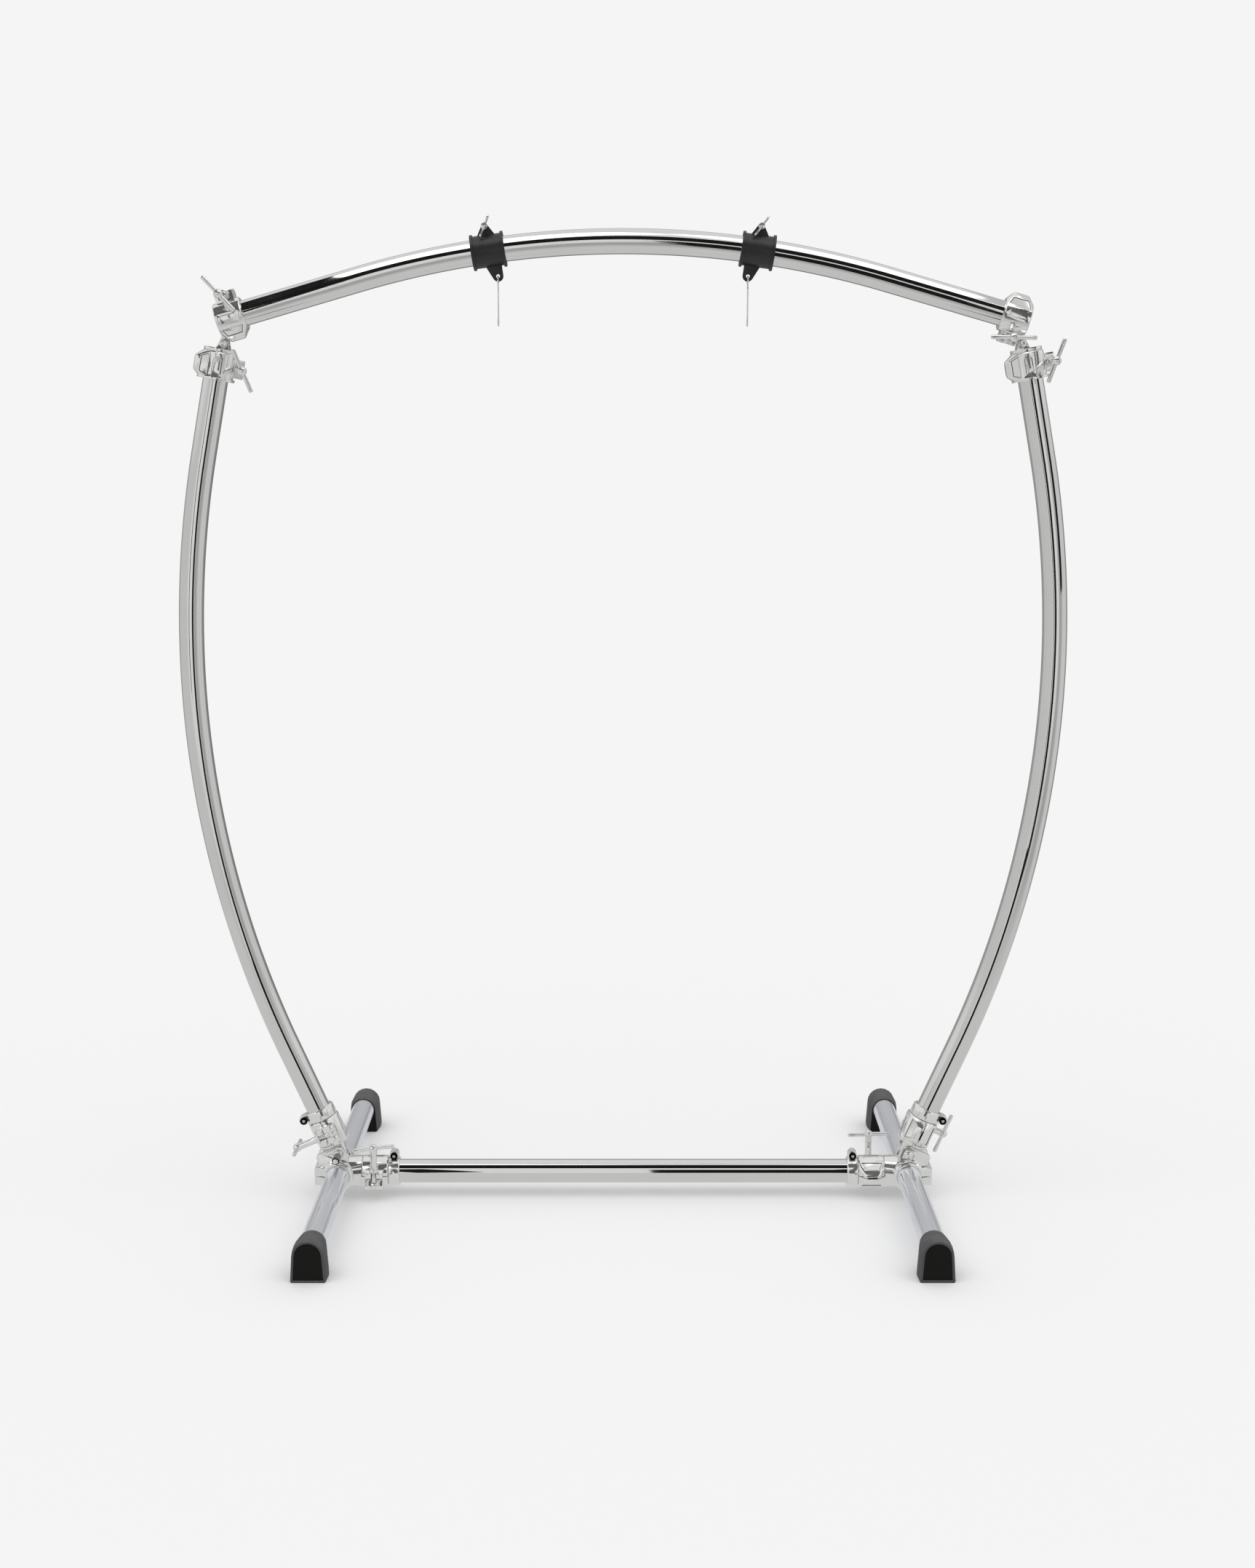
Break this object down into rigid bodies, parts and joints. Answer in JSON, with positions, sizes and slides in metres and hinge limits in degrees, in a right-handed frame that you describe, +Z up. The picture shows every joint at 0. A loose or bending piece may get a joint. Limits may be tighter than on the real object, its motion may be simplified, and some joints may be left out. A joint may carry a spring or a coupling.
{
  "type": "gong stand",
  "caption": "Free-standing chromed tube rack with bowed uprights, a bowed top bar, clamped corners and wire hooks on black collars for hanging a large gong.",
  "frame": {"origin": "centre of the footprint, at floor level", "axes": "+X to the right of someone who faces the open J of the hooks, +Y to the back, +Z up"},
  "size_m": [1.3758, 0.692, 1.5437],
  "materials": {
    "tube_chrome": "polished chromed steel tube",
    "casting_chrome": "polished chromed casting",
    "hardware_chrome": "polished chromed bolt and nut",
    "screw_steel": "dark plated screw head",
    "foot_rubber": "matt black rubber",
    "collar_nylon": "satin black nylon"
  },
  "bodies": {
    "base": {"base_bar": "tube_chrome", "leg_tube_left": "tube_chrome", "foot_left_front": "foot_rubber", "foot_left_rear": "foot_rubber", "t_casting_left": "casting_chrome", "base_clamp_left_gate": "casting_chrome", "base_lock_left": "casting_chrome", "base_lock_left_screw": "screw_steel", "tilt_bolt_left": "hardware_chrome", "leg_tube_right": "tube_chrome", "foot_right_front": "foot_rubber", "foot_right_rear": "foot_rubber", "t_casting_right": "casting_chrome", "base_clamp_right_gate": "casting_chrome", "base_lock_right": "casting_chrome", "base_lock_right_screw": "screw_steel", "tilt_bolt_right": "hardware_chrome"},
    "post_left": {"upright_left": "tube_chrome", "tilt_clamp_left": "casting_chrome", "tilt_clamp_left_gate": "casting_chrome", "upright_lock_left": "casting_chrome", "upright_lock_left_screw": "screw_steel", "corner_lower_left": "casting_chrome", "corner_lower_left_gate": "casting_chrome"},
    "post_right": {"upright_right": "tube_chrome", "tilt_clamp_right": "casting_chrome", "tilt_clamp_right_gate": "casting_chrome", "upright_lock_right": "casting_chrome", "upright_lock_right_screw": "screw_steel", "corner_lower_right": "casting_chrome", "corner_lower_right_gate": "casting_chrome"},
    "top_bar": {"top_bar": "tube_chrome", "corner_upper_left": "casting_chrome", "corner_upper_left_gate": "casting_chrome", "corner_upper_right": "casting_chrome", "corner_upper_right_gate": "casting_chrome"},
    "base_clamp_left_swing_bolt": {"base_clamp_left_swing_bolt": "hardware_chrome"},
    "base_clamp_left_t_nut": {"base_clamp_left_t_nut": "hardware_chrome"},
    "tilt_clamp_left_swing_bolt": {"tilt_clamp_left_swing_bolt": "hardware_chrome"},
    "tilt_clamp_left_t_nut": {"tilt_clamp_left_t_nut": "hardware_chrome"},
    "corner_lower_left_swing_bolt": {"corner_lower_left_swing_bolt": "hardware_chrome"},
    "corner_lower_left_t_nut": {"corner_lower_left_t_nut": "hardware_chrome"},
    "corner_upper_left_swing_bolt": {"corner_upper_left_swing_bolt": "hardware_chrome"},
    "corner_upper_left_t_nut": {"corner_upper_left_t_nut": "hardware_chrome"},
    "base_clamp_right_swing_bolt": {"base_clamp_right_swing_bolt": "hardware_chrome"},
    "base_clamp_right_t_nut": {"base_clamp_right_t_nut": "hardware_chrome"},
    "tilt_clamp_right_swing_bolt": {"tilt_clamp_right_swing_bolt": "hardware_chrome"},
    "tilt_clamp_right_t_nut": {"tilt_clamp_right_t_nut": "hardware_chrome"},
    "corner_lower_right_swing_bolt": {"corner_lower_right_swing_bolt": "hardware_chrome"},
    "corner_lower_right_t_nut": {"corner_lower_right_t_nut": "hardware_chrome"},
    "corner_upper_right_swing_bolt": {"corner_upper_right_swing_bolt": "hardware_chrome"},
    "corner_upper_right_t_nut": {"corner_upper_right_t_nut": "hardware_chrome"},
    "swivel_bolt_left": {"swivel_bolt_left": "hardware_chrome"},
    "swivel_bolt_right": {"swivel_bolt_right": "hardware_chrome"},
    "hanger_collar_left": {"hanger_collar_left": "collar_nylon"},
    "wing_screw_left": {"wing_screw_left": "hardware_chrome"},
    "gong_hook_left": {"gong_hook_left": "hardware_chrome"},
    "hanger_collar_right": {"hanger_collar_right": "collar_nylon"},
    "wing_screw_right": {"wing_screw_right": "hardware_chrome"},
    "gong_hook_right": {"gong_hook_right": "hardware_chrome"}
  },
  "joints": [
    {"name": "sway_left", "type": "hinge", "parent": "base", "child": "post_left", "pos_m": [-0.4605, 0, 0.0738], "axis": [0, 1, 0], "range_deg": [-5, 5]},
    {"name": "sway_right", "type": "hinge", "parent": "base", "child": "post_right", "pos_m": [0.4605, 0, 0.0738], "axis": [0, 1, 0], "range_deg": [-5.1, 5.1]},
    {"name": "corner_swivel_left", "type": "hinge", "parent": "post_left", "child": "top_bar", "pos_m": [-0.60361, 0, 1.35641], "axis": [0, 1, 0], "range_deg": [-4.2, 4.2]},
    {"name": "base_clamp_left_bolt_swing", "type": "hinge", "parent": "base", "child": "base_clamp_left_swing_bolt", "pos_m": [-0.4015, -0.033, 0.0288], "axis": [1, 0, 0], "range_deg": [0, 45]},
    {"name": "base_clamp_left_nut_spin", "type": "hinge", "parent": "base_clamp_left_swing_bolt", "child": "base_clamp_left_t_nut", "pos_m": [-0.4015, -0.033, 0.0408], "axis": [0, 0, 1], "continuous": true},
    {"name": "tilt_clamp_left_bolt_swing", "type": "hinge", "parent": "post_left", "child": "tilt_clamp_left_swing_bolt", "pos_m": [-0.46624, -0.033, 0.1171], "axis": [-0.3987, 0, 0.9171], "range_deg": [0, 45]},
    {"name": "tilt_clamp_left_nut_spin", "type": "hinge", "parent": "tilt_clamp_left_swing_bolt", "child": "tilt_clamp_left_t_nut", "pos_m": [-0.47725, -0.033, 0.11232], "axis": [-0.9171, 0, -0.3987], "continuous": true},
    {"name": "corner_lower_left_bolt_swing", "type": "hinge", "parent": "post_left", "child": "corner_lower_left_swing_bolt", "pos_m": [-0.58566, 0.02013, 1.31787], "axis": [0.1908, 0, 0.9816], "range_deg": [0, 45]},
    {"name": "corner_lower_left_nut_spin", "type": "hinge", "parent": "corner_lower_left_swing_bolt", "child": "corner_lower_left_t_nut", "pos_m": [-0.58262, 0.00854, 1.31728], "axis": [0.2541, -0.9659, -0.0494], "continuous": true},
    {"name": "corner_upper_left_bolt_swing", "type": "hinge", "parent": "top_bar", "child": "corner_upper_left_swing_bolt", "pos_m": [-0.59997, 0.012, 1.42715], "axis": [-0.9613, 0, -0.2756], "range_deg": [0, 45]},
    {"name": "corner_upper_left_nut_spin", "type": "hinge", "parent": "corner_upper_left_swing_bolt", "child": "corner_upper_left_t_nut", "pos_m": [-0.59997, 0, 1.42715], "axis": [0, -1, 0], "continuous": true},
    {"name": "base_clamp_right_bolt_swing", "type": "hinge", "parent": "base", "child": "base_clamp_right_swing_bolt", "pos_m": [0.4015, 0.033, 0.0288], "axis": [-1, 0, 0], "range_deg": [0, 45]},
    {"name": "base_clamp_right_nut_spin", "type": "hinge", "parent": "base_clamp_right_swing_bolt", "child": "base_clamp_right_t_nut", "pos_m": [0.4015, 0.033, 0.0408], "axis": [0, 0, 1], "continuous": true},
    {"name": "tilt_clamp_right_bolt_swing", "type": "hinge", "parent": "post_right", "child": "tilt_clamp_right_swing_bolt", "pos_m": [0.46624, 0.033, 0.1171], "axis": [0.3987, 0, 0.9171], "range_deg": [0, 45]},
    {"name": "tilt_clamp_right_nut_spin", "type": "hinge", "parent": "tilt_clamp_right_swing_bolt", "child": "tilt_clamp_right_t_nut", "pos_m": [0.47725, 0.033, 0.11232], "axis": [0.9171, 0, -0.3987], "continuous": true},
    {"name": "corner_lower_right_bolt_swing", "type": "hinge", "parent": "post_right", "child": "corner_lower_right_swing_bolt", "pos_m": [0.6463, 0.012, 1.32966], "axis": [-0.1908, 0, 0.9816], "range_deg": [0, 45]},
    {"name": "corner_lower_right_nut_spin", "type": "hinge", "parent": "corner_lower_right_swing_bolt", "child": "corner_lower_right_t_nut", "pos_m": [0.6463, 0, 1.32966], "axis": [0, -1, 0], "continuous": true},
    {"name": "corner_upper_right_bolt_swing", "type": "hinge", "parent": "top_bar", "child": "corner_upper_right_swing_bolt", "pos_m": [0.58178, 0.012, 1.36371], "axis": [0.9613, 0, -0.2756], "range_deg": [0, 35]},
    {"name": "corner_upper_right_nut_spin", "type": "hinge", "parent": "corner_upper_right_swing_bolt", "child": "corner_upper_right_t_nut", "pos_m": [0.58178, 0, 1.36371], "axis": [0, -1, 0], "continuous": true},
    {"name": "swivel_bolt_left_spin", "type": "hinge", "parent": "top_bar", "child": "swivel_bolt_left", "pos_m": [-0.60361, 0, 1.35641], "axis": [0, -1, 0], "continuous": true},
    {"name": "swivel_bolt_right_spin", "type": "hinge", "parent": "top_bar", "child": "swivel_bolt_right", "pos_m": [0.60361, 0, 1.35641], "axis": [0, -1, 0], "continuous": true},
    {"name": "hanger_slide_left", "type": "hinge", "parent": "top_bar", "child": "hanger_collar_left", "pos_m": [0, 0, 0.0565], "axis": [0, 1, 0], "range_deg": [-6, 5.5]},
    {"name": "wing_screw_left_spin", "type": "hinge", "parent": "hanger_collar_left", "child": "wing_screw_left", "pos_m": [-0.20688, 0, 1.52694], "axis": [0, -1, 0], "continuous": true},
    {"name": "gong_hook_left_swing", "type": "hinge", "parent": "hanger_collar_left", "child": "gong_hook_left", "pos_m": [-0.18772, 0, 1.45541], "axis": [0, 1, 0], "range_deg": [-30, 30]},
    {"name": "hanger_slide_right", "type": "hinge", "parent": "top_bar", "child": "hanger_collar_right", "pos_m": [0, 0, 0.0565], "axis": [0, 1, 0], "range_deg": [-5.5, 6]},
    {"name": "wing_screw_right_spin", "type": "hinge", "parent": "hanger_collar_right", "child": "wing_screw_right", "pos_m": [0.20688, 0, 1.52694], "axis": [0, -1, 0], "continuous": true},
    {"name": "gong_hook_right_swing", "type": "hinge", "parent": "hanger_collar_right", "child": "gong_hook_right", "pos_m": [0.18772, 0, 1.45541], "axis": [0, 1, 0], "range_deg": [-30, 30]}
  ],
  "couplings": [
    {"joint": "sway_right", "follows": "sway_left", "ratio": 1},
    {"joint": "corner_swivel_left", "follows": "sway_left", "ratio": -0.763}
  ]
}
